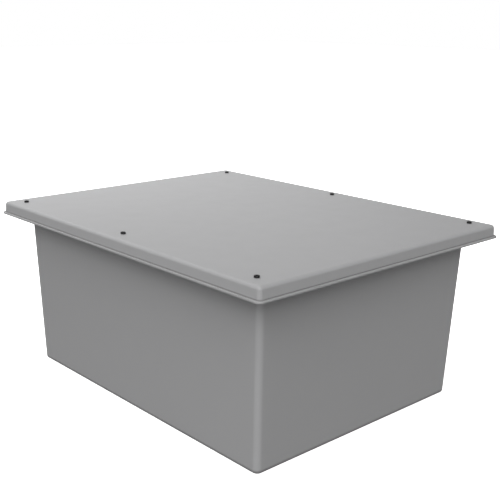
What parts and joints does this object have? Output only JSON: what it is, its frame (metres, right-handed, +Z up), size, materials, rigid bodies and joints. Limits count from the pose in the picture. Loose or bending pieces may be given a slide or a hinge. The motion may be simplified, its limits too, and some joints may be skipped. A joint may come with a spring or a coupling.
{
  "type": "bolted chamber cover and tub",
  "caption": "Rectangular drafted moulded chamber tub with a turned-down flange, closed by a shallow pan cover that screws clamp on a gasket.",
  "frame": {"origin": "centre of the tub's flat underside", "axes": "+X along the length, +Y along the width, +Z up through the cover"},
  "size_m": [1, 0.8, 0.4445],
  "materials": {
    "grey_gelcoat": "satin grey gelcoat on a glass-fibre laminate",
    "bare_laminate": "rough hand-laid laminate, resin rich",
    "rigid_foam": "closed-cell rigid foam",
    "black_steel": "black oxide, lightly oiled",
    "stainless": "turned stainless steel",
    "gasket_rubber": "closed-cell rubber strip",
    "washer_rubber": "moulded rubber"
  },
  "bodies": {
    "chamber": {"tub": "grey_gelcoat", "gasket": "gasket_rubber", "rivet_nuts": "stainless"},
    "lid": {"cover": "grey_gelcoat", "cover_bushes": "stainless", "stiffener_1": "bare_laminate", "stiffener_2": "bare_laminate", "stiffener_3": "bare_laminate", "stiffener_core_1": "rigid_foam", "stiffener_core_2": "rigid_foam", "stiffener_core_3": "rigid_foam"},
    "washer_1": {"seal_washer_1": "washer_rubber"},
    "screw_1": {"bolt_1": "black_steel"},
    "washer_2": {"seal_washer_2": "washer_rubber"},
    "screw_2": {"bolt_2": "black_steel"},
    "washer_3": {"seal_washer_3": "washer_rubber"},
    "screw_3": {"bolt_3": "black_steel"},
    "washer_4": {"seal_washer_4": "washer_rubber"},
    "screw_4": {"bolt_4": "black_steel"},
    "washer_5": {"seal_washer_5": "washer_rubber"},
    "screw_5": {"bolt_5": "black_steel"},
    "washer_6": {"seal_washer_6": "washer_rubber"},
    "screw_6": {"bolt_6": "black_steel"}
  },
  "joints": [
    {"name": "cover_lift", "type": "slide", "parent": "chamber", "child": "lid", "axis": [0, 0, 1], "range_m": [0, 0.25]},
    {"name": "bolt_1_rise", "type": "slide", "parent": "lid", "child": "washer_1", "axis": [0, 0, 1], "range_m": [0, 0.015]},
    {"name": "bolt_1_turn", "type": "hinge", "parent": "washer_1", "child": "screw_1", "pos_m": [-0.444, -0.354, 0.441], "axis": [0, 0, 1], "range_deg": [0, 5400]},
    {"name": "bolt_2_rise", "type": "slide", "parent": "lid", "child": "washer_2", "axis": [0, 0, 1], "range_m": [0, 0.015]},
    {"name": "bolt_2_turn", "type": "hinge", "parent": "washer_2", "child": "screw_2", "pos_m": [0, -0.354, 0.441], "axis": [0, 0, 1], "range_deg": [0, 5400]},
    {"name": "bolt_3_rise", "type": "slide", "parent": "lid", "child": "washer_3", "axis": [0, 0, 1], "range_m": [0, 0.015]},
    {"name": "bolt_3_turn", "type": "hinge", "parent": "washer_3", "child": "screw_3", "pos_m": [0.444, -0.354, 0.441], "axis": [0, 0, 1], "range_deg": [0, 5400]},
    {"name": "bolt_4_rise", "type": "slide", "parent": "lid", "child": "washer_4", "axis": [0, 0, 1], "range_m": [0, 0.015]},
    {"name": "bolt_4_turn", "type": "hinge", "parent": "washer_4", "child": "screw_4", "pos_m": [0.444, 0.354, 0.441], "axis": [0, 0, 1], "range_deg": [0, 5400]},
    {"name": "bolt_5_rise", "type": "slide", "parent": "lid", "child": "washer_5", "axis": [0, 0, 1], "range_m": [0, 0.015]},
    {"name": "bolt_5_turn", "type": "hinge", "parent": "washer_5", "child": "screw_5", "pos_m": [0, 0.354, 0.441], "axis": [0, 0, 1], "range_deg": [0, 5400]},
    {"name": "bolt_6_rise", "type": "slide", "parent": "lid", "child": "washer_6", "axis": [0, 0, 1], "range_m": [0, 0.015]},
    {"name": "bolt_6_turn", "type": "hinge", "parent": "washer_6", "child": "screw_6", "pos_m": [-0.444, 0.354, 0.441], "axis": [0, 0, 1], "range_deg": [0, 5400]}
  ],
  "couplings": [
    {"joint": "bolt_1_turn", "follows": "bolt_1_rise", "rad_per_m": 6283.2},
    {"joint": "bolt_2_turn", "follows": "bolt_2_rise", "rad_per_m": 6283.2},
    {"joint": "bolt_3_turn", "follows": "bolt_3_rise", "rad_per_m": 6283.2},
    {"joint": "bolt_4_turn", "follows": "bolt_4_rise", "rad_per_m": 6283.2},
    {"joint": "bolt_5_turn", "follows": "bolt_5_rise", "rad_per_m": 6283.2},
    {"joint": "bolt_6_turn", "follows": "bolt_6_rise", "rad_per_m": 6283.2}
  ]
}
